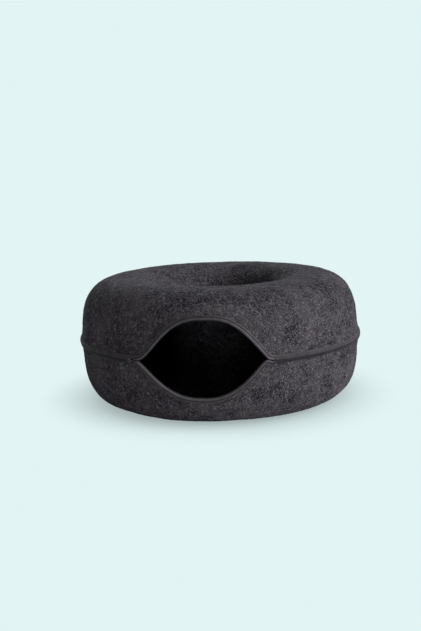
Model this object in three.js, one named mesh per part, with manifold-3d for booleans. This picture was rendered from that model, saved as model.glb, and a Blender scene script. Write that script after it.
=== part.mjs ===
// Donut cat tunnel: a hollow ring of stiff needle felt that a cat walks through, with a round nest in its middle.
// It is two pressed half rings, an upper and a lower, oversewn together round the hole. Their bound outer edges
// close with a zip, and part into an eye-shaped doorway between the zip's slider and its end stop.
// Millimetres, +Z up. The origin is on the floor at the middle of the hole, and the doorway faces -Y.
import * as THREE from "three";
import { mergeVertices } from "three/addons/utils/BufferGeometryUtils.js";
import Module from "manifold-3d";

const wasm = await Module();
wasm.setup();

// The ring of felt.
const OUTER_R = 300; // outermost radius of the felt
const TUBE_R = 200; // radius of the ring's crest, the middle of its tunnel
const HALF_WIDTH = OUTER_R - TUBE_R; // half the width of the tunnel's section
const CREST_Z = 261; // height of the crest
const SEAM_Z = 131; // height at which the two half rings meet
const UPPER_SQUARENESS = 2.97; // 2 would be a round section, more is squarer
const LOWER_SQUARENESS = 3.25;
const BASE_PRESS = 1; // how far the ring's weight flattens its base
const FELT = 4; // thickness of the felt
const FIT = 0.3; // clearance between neighbouring pieces

// The bound edges of the half rings.
const EDGE_FLARE = 2.5; // the sewn outer edges stand out by this much
const FLARE_REACH = 12; // and the flare dies away over this distance
const TAPE = 1.2; // thickness of the binding tape
const TAPE_LEG = 6.2; // how far each leg of the tape covers the felt

// The zip.
const CHAIN_HEIGHT = 1; // of the closed coils, where they show between the tapes
const COIL_HEIGHT = 1.2; // of one open coil, on the edge of its tape
const COIL_DEPTH = 3; // radial depth of the coils
const SLIDER_TURN = -26.7; // where the slider stands, in degrees from the front
const STOP_TURN = 27.35; // where the end stop is clenched
const EDGE_GAP = CHAIN_HEIGHT / 2 + FIT; // from the seam's plane to each tape

// The doorway: the turns of its corners, and the rise of each of its edges away from the seam, with the turn of its
// peak. To either side, bow is how broad the top of the curve is, and fall how gently it runs out into the corner.
const CORNER = { left: -25.2, right: 24.9 };
const DOOR = {
  upper: { rise: 81.7, peak: 1.2, left: { bow: 2.79, fall: 2.03 }, right: { bow: 2.94, fall: 1.4 } },
  lower: { rise: 68, peak: 0.75, left: { bow: 2.45, fall: 1.5 }, right: { bow: 2.4, fall: 1.43 } },
};
// The seam is drawn up a little round the doorway's right corner, and dies away on either side of this turn.
const LIFT = { height: 4.2, turn: 23.8, before: 4.5, after: 1.6 };

// How the hand-pressed ring differs from a true one, at stations round it: turn in degrees from the front, then
// millimetres added to the crest's height, to the outer radius above and below the seam, and to the flare.
const UNEVEN = [
  { turn: -180, crest: 0.5, above: 0, below: 0, flare: 0 },
  { turn: -135, crest: 0, above: -1, below: -1.5, flare: 0 },
  { turn: -90, crest: 0, above: -2, below: -3, flare: 0 },
  { turn: -45, crest: 0, above: -1, below: -1, flare: -0.5 },
  { turn: 0, crest: 0, above: 0, below: -0.4, flare: -0.5 },
  { turn: 45, crest: 0, above: 0, below: 0, flare: -0.5 },
  { turn: 90, crest: 0, above: 0, below: 0, flare: 0.8 },
  { turn: 135, crest: 1.5, above: 0.5, below: 0.5, flare: 0.5 },
];

// How finely the sections and the sweep round the ring are divided.
const OUTER_SHARES = [0, 0.2, 0.38, 0.54, 0.69, 0.84, 1]; // from the tape's end to the flat of the crest or base
const INNER_ANGLES = [0, 0.235, 0.43, 0.6, 0.78, 1, 1.28]; // radians from the crest or base to the inner seam
const FLAT_HALF_ANGLE = 0.235; // half the flat of the crest or base
const DOOR_STEPS = 18;
const RING_STEPS = 35;
const LIFT_DIES = [26.2, 27]; // turns of two sections where the lifted seam comes down
const ZIP_ENDS = 29; // turn of the first section past the slider and past the end stop

const FULL_TURN = 360;
const radians = THREE.MathUtils.degToRad;

// A column of UNEVEN at any turn, by a smooth curve through the stations that closes on itself.
function uneven(column, turn) {
  const start = turn - UNEVEN[0].turn;
  const place = ((start - FULL_TURN * Math.floor(start / FULL_TURN)) * UNEVEN.length) / FULL_TURN;
  const i = Math.floor(place);
  const t = place - i;
  const [a, b, c, d] = [-1, 0, 1, 2].map((k) => UNEVEN[(i + k + UNEVEN.length) % UNEVEN.length][column]);
  return b + 0.5 * t * (c - a + t * (2 * a - 5 * b + 4 * c - d + t * (3 * (b - c) + d - a)));
}

// How far a half ring's edge stands from the seam's plane at a turn: the doorway's rise, and the seam's own lift.
function edgeRise(side, turn) {
  const { rise, peak, left, right } = DOOR[side];
  const [corner, { bow, fall }] = turn > peak ? [CORNER.right, right] : [CORNER.left, left];
  const v = Math.min((turn - peak) / (corner - peak), 1);
  const spread = turn < LIFT.turn ? LIFT.before : LIFT.after;
  const lift = LIFT.height * Math.exp(-(((turn - LIFT.turn) / spread) ** 2));
  return rise * (1 - v ** bow) ** fall + (side === "upper" ? lift : -lift);
}

// The slant of an edge, as the factor by which it lengthens a width that is measured upright.
function slant(side, turn) {
  const step = 1;
  const rise = edgeRise(side, turn + step) - edgeRise(side, turn - step);
  return Math.hypot(1, rise / (2 * OUTER_R * radians(step)));
}

// A point of the outer skin, [radius, height], in the section at a turn. The angle is 0 at the outer seam, a quarter
// turn at the crest or base, and a half turn at the inner seam.
function skin(side, turn, angle) {
  const upper = side === "upper";
  const power = upper ? UPPER_SQUARENESS : LOWER_SQUARENESS;
  const outside = angle < Math.PI / 2;
  const width = HALF_WIDTH + (outside ? uneven(upper ? "above" : "below", turn) : 0);
  const height = upper ? CREST_Z + uneven("crest", turn) - SEAM_Z : SEAM_Z + BASE_PRESS;
  const [c, s] = [Math.cos(angle), Math.sin(angle)];
  const reach = (Math.abs(c / width) ** power + Math.abs(s / height) ** power) ** (-1 / power);
  const up = upper ? reach * s : -reach * s;
  return [TUBE_R + reach * c, Math.max(0, SEAM_Z + up)];
}

// The points of a half ring's section from its bound outer edge (first) to its inner seam (last), each with the
// direction along the section and the skin's normal. The second point is where the binding tape ends.
function section(side, turn) {
  const sign = side === "upper" ? 1 : -1;
  const stretch = slant(side, turn);
  const edge = EDGE_GAP + edgeRise(side, turn) + (FIT + TAPE) * stretch;
  let [start, end] = [-0.1, Math.PI / 2];
  for (let i = 0; i < 40; i++) {
    const middle = (start + end) / 2;
    if ((skin(side, turn, middle)[1] - SEAM_Z) * sign < edge) start = middle;
    else end = middle;
  }
  const place = (angle) => {
    const [r, z] = skin(side, turn, angle);
    const away = (z - SEAM_Z) * sign - edge;
    const flare = EDGE_FLARE + uneven("flare", turn);
    return [r + (angle < Math.PI / 2 ? flare * Math.exp(-((away / FLARE_REACH) ** 2)) : 0), z];
  };
  const step = 0.01;
  const pace = (angle) => {
    const [r0, z0] = place(angle - step);
    const [r1, z1] = place(angle + step);
    return [(r1 - r0) / (2 * step), (z1 - z0) / (2 * step)];
  };
  const tapeEnd = start + (TAPE_LEG * stretch) / Math.hypot(...pace(start));
  const flat = Math.PI / 2 - FLAT_HALF_ANGLE;
  const angles = [
    start,
    ...OUTER_SHARES.map((share) => tapeEnd + share * (flat - tapeEnd)),
    ...INNER_ANGLES.map((angle) => Math.PI / 2 + angle),
    Math.PI - FIT / 2 / HALF_WIDTH,
  ];
  return angles.map((angle) => {
    const [r, z] = place(angle);
    const [dr, dz] = pace(angle);
    const length = Math.hypot(dr, dz);
    return { r, z, along: [dr / length, dz / length], normal: [(sign * dz) / length, (-sign * dr) / length] };
  });
}

// A closed solid swept round the ring's axis, with one closed loop of [radius, height] for each turn. The loops run
// anticlockwise. The sweep closes on itself, or ends in flat caps, for which its loops have to be quads.
function sweep(turns, loops, closed) {
  const n = loops[0].length;
  const points = loops.flatMap((loop, i) => {
    const a = radians(turns[i]);
    return loop.map(([r, z]) => new THREE.Vector3(r * Math.sin(a), -r * Math.cos(a), z));
  });
  const index = [];
  for (let i = 0; i < (closed ? turns.length : turns.length - 1); i++) {
    const next = (i + 1) % turns.length;
    for (let j = 0; j < n; j++) {
      const k = (j + 1) % n;
      const [a, b, c, d] = [i * n + j, next * n + j, next * n + k, i * n + k];
      const across = points[a].distanceTo(points[c]) > points[b].distanceTo(points[d]) + FIT;
      if (across) index.push(a, b, d, b, c, d);
      else index.push(a, b, c, a, c, d);
    }
  }
  if (!closed) {
    const last = (turns.length - 1) * n;
    index.push(0, 1, 2, 0, 2, 3, last, last + 2, last + 1, last, last + 3, last + 2);
  }
  const geometry = new THREE.BufferGeometry().setFromPoints(points);
  geometry.setIndex(index);
  geometry.computeVertexNormals();
  return geometry;
}

// Evenly spaced numbers, both ends included.
function spaced(from, to, steps) {
  return Array.from({ length: steps + 1 }, (_, i) => from + ((to - from) * i) / steps);
}

// The turns at which the ring is cut into sections, closer together across the doorway and closest at its corners.
const doorTurns = spaced(-1, 1, DOOR_STEPS).map((x) => {
  const corner = x < 0 ? -CORNER.left : CORNER.right;
  return (corner * (x + Math.sin((x * Math.PI) / 2))) / 2;
});
const TURNS = [...doorTurns, ...LIFT_DIES, ...spaced(ZIP_ENDS, FULL_TURN - ZIP_ENDS, RING_STEPS)];

// A loop built from the outer seam upwards runs anticlockwise, so the lower half's loops are turned round.
const anticlockwise = (side, loop) => (side === "upper" ? loop : loop.reverse());

const FELT_GREY = new THREE.MeshStandardMaterial({ color: 0x47444b, roughness: 0.97, metalness: 0 });
const TAPE_GREY = new THREE.MeshStandardMaterial({ color: 0x4d4b50, roughness: 0.8, metalness: 0 });
const COIL_GREY = new THREE.MeshStandardMaterial({ color: 0x45444a, roughness: 0.45, metalness: 0 });
const METAL_BLACK = new THREE.MeshStandardMaterial({ color: 0x2b2b30, roughness: 0.35, metalness: 0.9 });

const group = new THREE.Group();
function add(name, geometry, material) {
  const mesh = new THREE.Mesh(geometry, material);
  mesh.name = name;
  group.add(mesh);
}

// One half ring of felt, a single pressed piece all the way round.
function feltHalf(side) {
  const loops = TURNS.map((turn) => {
    const points = section(side, turn);
    const outside = points.map(({ r, z }) => [r, z]);
    const inside = points.map(({ r, z, normal }) => [r - FELT * normal[0], z - FELT * normal[1]]);
    return anticlockwise(side, [...outside, ...inside.reverse()]);
  });
  return sweep(TURNS, loops, true);
}

// The binding tape, folded over the cut outer edge of a half ring all the way round.
function bindingTape(side) {
  const [near, far] = [FIT, FIT + TAPE];
  const loops = TURNS.map((turn) => {
    const [edge, end] = section(side, turn);
    const stretch = slant(side, turn);
    const at = ({ r, z, along, normal }, out, beyond) => [
      r + normal[0] * out - along[0] * beyond * stretch,
      z + normal[1] * out - along[1] * beyond * stretch,
    ];
    return anticlockwise(side, [
      at(edge, far, far),
      at(end, far, 0),
      at(end, near, 0),
      at(edge, near, near),
      at(edge, -FELT - near, near),
      at(end, -FELT - near, 0),
      at(end, -FELT - far, 0),
      at(edge, -FELT - far, far),
    ]);
  });
  return sweep(TURNS, loops, true);
}

// One open zip coil along a doorway edge, on the fold of its tape. It ends one section short of either corner.
function openCoil(side) {
  const turns = doorTurns.slice(1, -1);
  const loops = turns.map((turn) => {
    const [{ r, z, along, normal }] = section(side, turn);
    const stretch = slant(side, turn);
    const near = (2 * FIT + TAPE) * stretch;
    const far = near + COIL_HEIGHT * stretch;
    const [front, back] = [(COIL_DEPTH - FELT) / 2, (-COIL_DEPTH - FELT) / 2];
    const at = (out, beyond) => [
      r + normal[0] * out - along[0] * beyond,
      z + normal[1] * out - along[1] * beyond,
    ];
    return anticlockwise(side, [at(front, far), at(front, near), at(back, near), at(back, far)]);
  });
  return sweep(turns, loops, false);
}

for (const side of ["upper", "lower"]) {
  add(`${side}_shell`, feltHalf(side), FELT_GREY);
  add(`${side}_tape`, bindingTape(side), TAPE_GREY);
  add(`${side}_coil`, openCoil(side), COIL_GREY);
}

// Radius of the outer face of the felt at the seam.
const seamRadius = (turn) =>
  OUTER_R + Math.max(uneven("above", turn), uneven("below", turn)) + EDGE_FLARE + uneven("flare", turn);

// The closed chain of the zip, from its end stop round the back of the ring to the slider.
const CHAIN_SHORT = { stop: 0.35, slider: 0.15 }; // how far its ends lie from the middles of those two
const chainStart = STOP_TURN + CHAIN_SHORT.stop;
const chainTurns = spaced(chainStart, FULL_TURN + SLIDER_TURN + CHAIN_SHORT.slider, RING_STEPS);
const chainLoops = chainTurns.map((turn) => {
  const [front, back] = [COIL_DEPTH / 2, -COIL_DEPTH / 2].map((x) => seamRadius(turn) - FELT / 2 + x);
  const [low, high] = [SEAM_Z - CHAIN_HEIGHT / 2, SEAM_Z + CHAIN_HEIGHT / 2];
  return [[front, low], [front, high], [back, high], [back, low]];
});
add("zip_chain", sweep(chainTurns, chainLoops, false), COIL_GREY);

// Small hardware is built with x along the seam towards the doorway, y up and z outwards from the tape's face.
const TAPE_DEPTH = FELT + 2 * (FIT + TAPE);
function seat(geometry, turn) {
  const a = radians(turn);
  const outwards = new THREE.Vector3(Math.sin(a), -Math.cos(a), 0);
  const alongSeam = new THREE.Vector3(Math.cos(a), Math.sin(a), 0);
  const frame = new THREE.Matrix4().makeBasis(alongSeam, new THREE.Vector3(0, 0, 1), outwards);
  frame.setPosition(outwards.multiplyScalar(seamRadius(turn) + FIT + TAPE).setZ(SEAM_Z));
  return geometry.applyMatrix4(frame);
}

// A geometry as a solid for joining and cutting, and back.
function solid(geometry) {
  geometry.deleteAttribute("normal");
  geometry.deleteAttribute("uv");
  const { attributes, index } = mergeVertices(geometry);
  const vertProperties = new Float32Array(attributes.position.array);
  const triVerts = new Uint32Array(index.array);
  return new wasm.Manifold(new wasm.Mesh({ numProp: 3, vertProperties, triVerts }));
}
function surface(manifold) {
  const { vertProperties, triVerts } = manifold.getMesh();
  const geometry = new THREE.BufferGeometry();
  geometry.setAttribute("position", new THREE.BufferAttribute(vertProperties, 3));
  geometry.setIndex(new THREE.BufferAttribute(triVerts, 1));
  geometry.computeVertexNormals();
  return geometry;
}
const join = (...solids) => solids.reduce((whole, next) => whole.add(next));

// A block, and a flat plate with rounded corners, both given by their size and the middle of their back face.
function block([width, height, depth], [x, y, z]) {
  return solid(new THREE.BoxGeometry(width, height, depth).translate(x, y, z + depth / 2));
}
function plate([width, height, depth], corner, [x, y, z]) {
  const [w, h] = [width / 2 - corner, height / 2 - corner];
  const outline = new THREE.Shape();
  outline.absarc(w, h, corner, 0, Math.PI / 2);
  outline.absarc(-w, h, corner, Math.PI / 2, Math.PI);
  outline.absarc(-w, -h, corner, Math.PI, Math.PI * 1.5);
  outline.absarc(w, -h, corner, Math.PI * 1.5, Math.PI * 2);
  const made = new THREE.ExtrudeGeometry(outline, { depth, bevelEnabled: false, curveSegments: 4 });
  return solid(made.translate(x, y, z));
}

// The slider: a front plate and a back plate either side of the tapes, the post that joins them and parts the
// coils, and the bail that the puller hangs from.
const SLIDER = { length: 14, front: 11, back: 9, corner: 3, postX: 4, postLength: 3 };
const PLATE = 2; // thickness of the slider's front plate
const BACK_PLATE = 1.2;
const BACK_GAP = 1.5; // clearance behind the tapes
const BAIL = { halfSpan: 4, out: 4.5, wire: 1.5, width: 3 };
const bailZ = FIT + PLATE;
const backZ = -TAPE_DEPTH - BACK_GAP - BACK_PLATE;
const bailLeg = (x) => block([BAIL.wire, BAIL.width, BAIL.out], [x, 0, bailZ - 0.2]);
const slider = join(
  plate([SLIDER.length, SLIDER.front, PLATE], SLIDER.corner, [0, 0, FIT]),
  plate([SLIDER.length, SLIDER.back, BACK_PLATE], SLIDER.corner, [0, 0, backZ]),
  block([SLIDER.postLength, CHAIN_HEIGHT, FIT + 0.2 - backZ - 0.2], [SLIDER.postX, 0, backZ + 0.2]),
  bailLeg(-BAIL.halfSpan),
  bailLeg(BAIL.halfSpan),
  block([2 * BAIL.halfSpan + BAIL.wire, BAIL.width, BAIL.wire], [0, 0, bailZ + BAIL.out - BAIL.wire]),
);
add("slider", seat(surface(slider), SLIDER_TURN), METAL_BLACK);

// The puller: a flat tab threaded on one leg of the bail, lying back and down along the tape.
const PULLER = { length: 30, width: 7, thickness: 1.2, corner: 3, dip: 33, lean: 7, lift: 1.75 };
const EYE = { length: 4.8, width: 4.4, corner: 1.8, inset: 3.6 };
const CORD_HOLE = { length: 3.2, width: 2.6, corner: 1.2, inset: 3.4 };
const hole = ({ length, width, corner }, x) => plate([length, width, 4], corner, [x, 0, -2]);
const pullerFar = EYE.inset - PULLER.length;
const puller = plate([PULLER.length, PULLER.width, PULLER.thickness], PULLER.corner, [
  EYE.inset - PULLER.length / 2,
  0,
  -PULLER.thickness / 2,
])
  .subtract(hole(EYE, 0))
  .subtract(hole(CORD_HOLE, pullerFar + CORD_HOLE.inset))
  .rotate([0, -PULLER.lean, 0])
  .rotate([0, 0, PULLER.dip])
  .translate([-BAIL.halfSpan, 0, bailZ + PULLER.lift]);
add("puller", seat(surface(puller), SLIDER_TURN), METAL_BLACK);

// The end stop: a staple clenched through both tapes where the zip starts.
const STOP = { length: 2.6, front: 10, back: 8, thickness: 1.2 };
const stopBackZ = -TAPE_DEPTH - 1 - STOP.thickness;
const endStop = join(
  block([STOP.length, STOP.front, STOP.thickness], [0, 0, FIT]),
  block([STOP.length, STOP.back, STOP.thickness], [0, 0, stopBackZ]),
  block([STOP.length, CHAIN_HEIGHT, FIT + 0.2 - stopBackZ - 0.2], [0, 0, stopBackZ + 0.2]),
);
add("end_stop", seat(surface(endStop), STOP_TURN), METAL_BLACK);

export default group;
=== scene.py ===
# Donut cat tunnel: the looks of its felt, binding tape, thread, zip and hardware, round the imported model.
# Metres, +Z up. The origin is on the floor at the middle of the hole, and the doorway faces -Y.
import math

import bpy
import numpy as np
from mathutils import Matrix, Vector, noise


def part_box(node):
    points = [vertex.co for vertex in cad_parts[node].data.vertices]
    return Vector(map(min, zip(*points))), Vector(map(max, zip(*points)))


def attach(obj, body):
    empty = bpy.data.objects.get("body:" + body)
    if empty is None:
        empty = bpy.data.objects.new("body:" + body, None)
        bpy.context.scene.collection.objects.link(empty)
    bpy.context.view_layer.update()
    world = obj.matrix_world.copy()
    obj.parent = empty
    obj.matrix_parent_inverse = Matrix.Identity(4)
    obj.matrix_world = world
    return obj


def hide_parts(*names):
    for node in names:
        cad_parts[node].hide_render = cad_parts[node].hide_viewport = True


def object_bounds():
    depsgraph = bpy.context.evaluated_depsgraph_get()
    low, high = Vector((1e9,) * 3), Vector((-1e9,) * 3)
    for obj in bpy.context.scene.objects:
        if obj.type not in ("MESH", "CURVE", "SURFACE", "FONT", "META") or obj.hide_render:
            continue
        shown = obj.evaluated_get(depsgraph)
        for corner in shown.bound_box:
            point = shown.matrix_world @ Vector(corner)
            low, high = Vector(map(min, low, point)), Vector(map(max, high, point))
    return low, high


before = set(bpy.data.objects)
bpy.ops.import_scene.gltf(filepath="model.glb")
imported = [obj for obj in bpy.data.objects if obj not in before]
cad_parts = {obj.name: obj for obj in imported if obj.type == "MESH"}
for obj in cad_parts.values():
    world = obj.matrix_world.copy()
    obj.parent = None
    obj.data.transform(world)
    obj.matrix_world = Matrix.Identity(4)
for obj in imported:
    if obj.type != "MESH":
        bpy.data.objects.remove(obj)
cad_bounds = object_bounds()
scene = bpy.context.scene

# ----------------------------------------------------------------------------------------------------------
# The camera. It stands 2 m in front of the ring, a little to its right and above its rim, with a normal lens,
# and it leans slightly.
# ----------------------------------------------------------------------------------------------------------
VIEW = {"distance": 2.0, "azimuth": 7.35, "elevation": 11.3, "roll": -1.67}
LENS = 51.75  # mm, on a 36 mm sensor
SHIFT = {"x": -0.01426, "y": 0.0268}  # of the lens, as shares of the frame's longer side
aim = Vector((0, 0, sum(corner.z for corner in cad_bounds) / 2))

azimuth, elevation = math.radians(VIEW["azimuth"]), math.radians(VIEW["elevation"])
towards_camera = Vector(
    (math.sin(azimuth) * math.cos(elevation), -math.cos(azimuth) * math.cos(elevation), math.sin(elevation))
)
camera = bpy.data.objects.new("camera", bpy.data.cameras.new("camera"))
scene.collection.objects.link(camera)
camera.data.lens = LENS
camera.data.shift_x = SHIFT["x"]
camera.data.shift_y = SHIFT["y"]
camera.location = aim + VIEW["distance"] * towards_camera
roll = Matrix.Rotation(math.radians(VIEW["roll"]), 4, "Z")
camera.rotation_euler = (towards_camera.to_track_quat("Z", "Y").to_matrix().to_4x4() @ roll).to_euler()
scene.camera = camera
scene.view_settings.view_transform = "Standard"

# ----------------------------------------------------------------------------------------------------------
# The felt half rings. Each is one sheet of needle-punched polyester felt, 4 mm thick, pressed hot over a
# former into half of a ring and stiff enough to stand. The outer edge dips away from the seam to make the
# doorway, and the inner edge is oversewn to the other half's round the hole.
# ----------------------------------------------------------------------------------------------------------
mm = 0.001
FELT = 4 * mm
FIT = 0.3 * mm  # between neighbouring pieces
TAPE = 1.2 * mm  # thickness of the binding tape on the felt's edge
CHAIN = 1 * mm  # height of the closed zip between the two tapes
TAPE_LEG = 6.2 * mm  # how far the tape covers the felt

EDGE_FLARE = 2.5 * mm  # the sewn outer edges stand out
FLARE_REACH = 12 * mm
BASE_PRESS = 1 * mm  # the ring's weight flattens its base
SQUARENESS = {"upper": 2.97, "lower": 3.25}  # 2 would be a round section

# How the ring differs from a true one at every eighth of a turn, from the back and anticlockwise as seen from
# above: millimetres added to the crest's height, to the radius above and below the seam, and to the flare.
UNEVEN = {
    "crest": (0.5, 0, 0, 0, 0, 0, 0, 1.5),
    "above": (0, -1, -2, -1, 0, 0, 0, 0.5),
    "below": (0, -1.5, -3, -1, -0.4, 0, 0, 0.5),
    "flare": (0, 0, 0, -0.5, -0.5, -0.5, 0.8, 0.5),
}
SEAM_Z = sum(corner.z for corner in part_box("zip_chain")) / 2
CREST_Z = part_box("upper_shell")[1].z - max(UNEVEN["crest"]) * mm
OUTER_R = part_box("upper_shell")[1].x - EDGE_FLARE - max(UNEVEN["flare"]) * mm
TUBE_R = OUTER_R * 2 / 3  # to the crest, the middle of the tunnel
HALF_WIDTH = OUTER_R - TUBE_R

# The doorway: its corners, in degrees from the front, and each edge's rise away from the seam, with the turn
# of its peak. To the left and right of it, bow is how broad the top of the curve is, and fall how gently it
# runs out into the corner. The seam is drawn up a little round the right corner.
CORNERS = (-25.2, 24.9)
DOOR = {
    "upper": {"rise": 81.7 * mm, "peak": 1.2, "bow": (2.79, 2.94), "fall": (2.03, 1.4)},
    "lower": {"rise": 68 * mm, "peak": 0.75, "bow": (2.45, 2.4), "fall": (1.5, 1.43)},
}
LIFT = {"height": 4.2 * mm, "turn": 23.8, "before": 4.5, "after": 1.6}
SIDES = {"upper": 1, "lower": -1}


def curved(a, b, c, d, t):
    """A share t of the way from b to c, on a smooth curve that comes from a and goes on to d."""
    return b + 0.5 * t * (c - a + t * (2 * a - 5 * b + 4 * c - d + t * (3 * (b - c) + d - a)))


def uneven(column, turns):
    """A column of UNEVEN at any turns in degrees from the front, along a smooth closed curve."""
    values = np.array(UNEVEN[column]) * mm
    place = (np.asarray(turns) + 180) % 360 * len(values) / 360
    i = place.astype(int)
    return curved(*(values[(i + k) % len(values)] for k in (-1, 0, 1, 2)), place - i)


def from_front(turns):
    """Turns in degrees, brought within half a turn of the front."""
    return (np.asarray(turns, float) + 180) % 360 - 180


def edge_rise(side, turns):
    """How far a half ring's edge stands from the seam's plane."""
    door, turns = DOOR[side], from_front(turns)
    right = turns > door["peak"]
    corner, bow, fall = (np.where(right, *pair[::-1]) for pair in (CORNERS, door["bow"], door["fall"]))
    share = np.minimum((turns - door["peak"]) / (corner - door["peak"]), 1)
    spread = np.where(turns < LIFT["turn"], LIFT["before"], LIFT["after"])
    lift = LIFT["height"] * np.exp(-(((turns - LIFT["turn"]) / spread) ** 2))
    return door["rise"] * (1 - share**bow) ** fall + SIDES[side] * lift


def slant(side, turns):
    """How much longer a width measured upright is where the edge slopes."""
    step = 1
    rise = edge_rise(side, turns + step) - edge_rise(side, turns - step)
    return np.hypot(1, rise / (2 * OUTER_R * math.radians(step)))


def skin(side, turns, angles):
    """Radius and height of the felt's outer face. The angle is 0 at the outer seam, a quarter turn at the
    crest or base, and a half turn at the inner seam."""
    outside = angles < math.pi / 2
    bulge = uneven("above" if side == "upper" else "below", turns)
    width = HALF_WIDTH + np.where(outside, bulge, 0)
    height = CREST_Z + uneven("crest", turns) - SEAM_Z if side == "upper" else SEAM_Z + BASE_PRESS
    power = SQUARENESS[side]
    cos, sin = np.cos(angles), np.sin(angles)
    reach = (np.abs(cos / width) ** power + np.abs(sin / height) ** power) ** (-1 / power)
    return TUBE_R + reach * cos, np.maximum(0, SEAM_Z + SIDES[side] * reach * sin)


CUT_EDGE = {"from": -0.1, "to": math.pi / 2, "halvings": 40}  # the angles between which it is looked for
LINE_POINTS = 900  # in each section, much finer than the mesh


def sections(side, turns):
    """The felt's outer face in the sections at turns: fine lines of radius, height and distance from the cut
    outer edge, one row for each turn, with how far the edge slopes there."""
    turns = np.asarray(turns, float)
    edge = CHAIN / 2 + FIT + edge_rise(side, turns) + (FIT + TAPE) * slant(side, turns)
    low, high = (np.full(len(turns), CUT_EDGE[end]) for end in ("from", "to"))
    for _ in range(CUT_EDGE["halvings"]):
        middle = (low + high) / 2
        short = SIDES[side] * (skin(side, turns, middle)[1] - SEAM_Z) < edge
        low, high = np.where(short, middle, low), np.where(short, high, middle)
    last = math.pi - FIT / 2 / HALF_WIDTH
    angles = low[:, None] + (last - low)[:, None] * np.linspace(0, 1, LINE_POINTS)
    r, z = skin(side, turns[:, None], angles)
    away = SIDES[side] * (z - SEAM_Z) - edge[:, None]
    flare = EDGE_FLARE + uneven("flare", turns)[:, None]
    r = r + np.where(angles < math.pi / 2, flare * np.exp(-((away / FLARE_REACH) ** 2)), 0)
    steps = np.hypot(np.diff(r), np.diff(z))
    arc = np.concatenate([np.zeros((len(turns), 1)), np.cumsum(steps, 1)], 1)
    return {"side": side, "turns": turns, "r": r, "z": z, "arc": arc, "slant": slant(side, turns)[:, None]}


def on_skin(lines, arcs, out):
    """Points on or above the felt's outer face. arcs has a row for each section, of distances from the cut
    edge, below 0 beyond it, and out is how far above the face each point stands."""
    sign, step = SIDES[lines["side"]], 0.5 * mm
    arcs, out = np.broadcast_arrays(arcs, out)
    points = np.empty((*arcs.shape, 3))
    for i, turn in enumerate(np.radians(lines["turns"])):
        r, z, arc = (lines[key][i] for key in ("r", "z", "arc"))
        before, after = (np.clip(arcs[i] + way * step, 0, arc[-1]) for way in (-1, 1))
        before = np.minimum(before, arc[-1] - step)
        after = np.maximum(after, step)
        dr, dz = (np.interp(after, arc, line) - np.interp(before, arc, line) for line in (r, z))
        dr, dz = dr / np.hypot(dr, dz), dz / np.hypot(dr, dz)
        beyond = np.minimum(arcs[i], 0)
        radius = np.interp(arcs[i], arc, r) + dr * beyond + sign * dz * out[i]
        height = np.interp(arcs[i], arc, z) + dz * beyond - sign * dr * out[i]
        points[i] = np.stack([radius * math.sin(turn), -radius * math.cos(turn), height], -1)
    return points


def smooth(x):
    """0 below 0, 1 above 1, and a soft step between."""
    x = np.clip(x, 0, 1)
    return x * x * (3 - 2 * x)


def unit(vectors):
    return vectors / np.linalg.norm(vectors, axis=-1, keepdims=True)


def piece_of(name, points, faces):
    """A smooth-shaded mesh piece."""
    mesh = bpy.data.meshes.new(name)
    mesh.from_pydata(points.reshape(-1, 3).tolist(), [], faces)
    mesh.shade_smooth()
    piece = bpy.data.objects.new(name, mesh)
    scene.collection.objects.link(piece)
    return piece


def ring_faces(count, around, side):
    """The quads of a closed sweep round the ring: count loops of around points each."""
    i, j = np.meshgrid(np.arange(count), np.arange(around), indexing="ij")
    ahead, up = (i + 1) % count, (j + 1) % around
    quads = np.stack([i * around + j, ahead * around + j, ahead * around + up, i * around + up], -1)
    quads = quads.reshape(-1, 4)
    return (quads if side == "upper" else quads[:, ::-1]).tolist()


# Sections stand close together across the doorway, closest at its corners, and where the zip closes past the
# slider and the end stop. Round the rest they are even. Turns are in degrees from the front.
DOOR_STEPS, RING_STEPS = 170, 460
ZIP_CLOSED = (-28.7, 27.6)
ZIP_END = np.linspace(-1.2, 1.2, 14)  # sections either side of where it closes
across = np.linspace(-1, 1, DOOR_STEPS + 1)
door_turns = np.where(across < 0, -CORNERS[0], CORNERS[1]) * (across + np.sin(across * math.pi / 2)) / 2
ring_turns = np.linspace(CORNERS[1], 360 + CORNERS[0], RING_STEPS + 1)[1:-1]
zip_ends = np.array(ZIP_CLOSED)[:, None] % 360 + ZIP_END
felt_turns = np.concatenate([door_turns, np.sort([*ring_turns, *zip_ends.ravel()])])

# Rows of points, as distances from the cut outer edge and from the inner seam. Those between are even.
NEAR_EDGE = np.array([0, 2, 4, 6, 7, 8, 9.2, 10.8, 13, 16, 20]) * mm
NEAR_SEAM = np.array([13, 9, 6.4, 4.6, 3.2, 2.1, 1.2, 0.5, 0]) * mm
MIDDLE_ROWS = 90
INSIDE_EVERY = 6  # the tunnel's side of the felt has a row for each sixth one outside

# Hand-pressed felt is never quite even: long shallow dents, then shorter and shallower ones, which fade out
# towards the tape and the inner seam. Each kind of dent, and each half, has its own part of the noise.
DENTS = ({"size": 120 * mm, "depth": 1.3 * mm}, {"size": 45 * mm, "depth": 0.6 * mm},
         {"size": 13 * mm, "depth": 0.25 * mm}, {"size": 5.5 * mm, "depth": 0.12 * mm})
DENT_FADE = {"tape": 25 * mm, "seam": 12 * mm}
DENT_NOISE = {"kind": 7.3, "lower": 40, "upper": 0}
# The tape's stitching gathers the felt beside it, which puffs up past where the tape presses it flat. The
# oversewn inner edges roll inwards.
PUCKER = {"size": 11 * mm, "depth": 0.7 * mm, "reach": 16 * mm, "start": 4 * mm}
PUFF = {"at": 9 * mm, "height": 0.7 * mm, "reach": 7 * mm, "start": 3 * mm}
SEAM_DIP = {"depth": 1.6 * mm, "reach": 5 * mm}
STOOD_ON = 0.9  # the share of its thickness that the felt keeps where the ring stands on it
SHARP = 60  # degrees, so that the cut edges stay crisp


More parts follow.
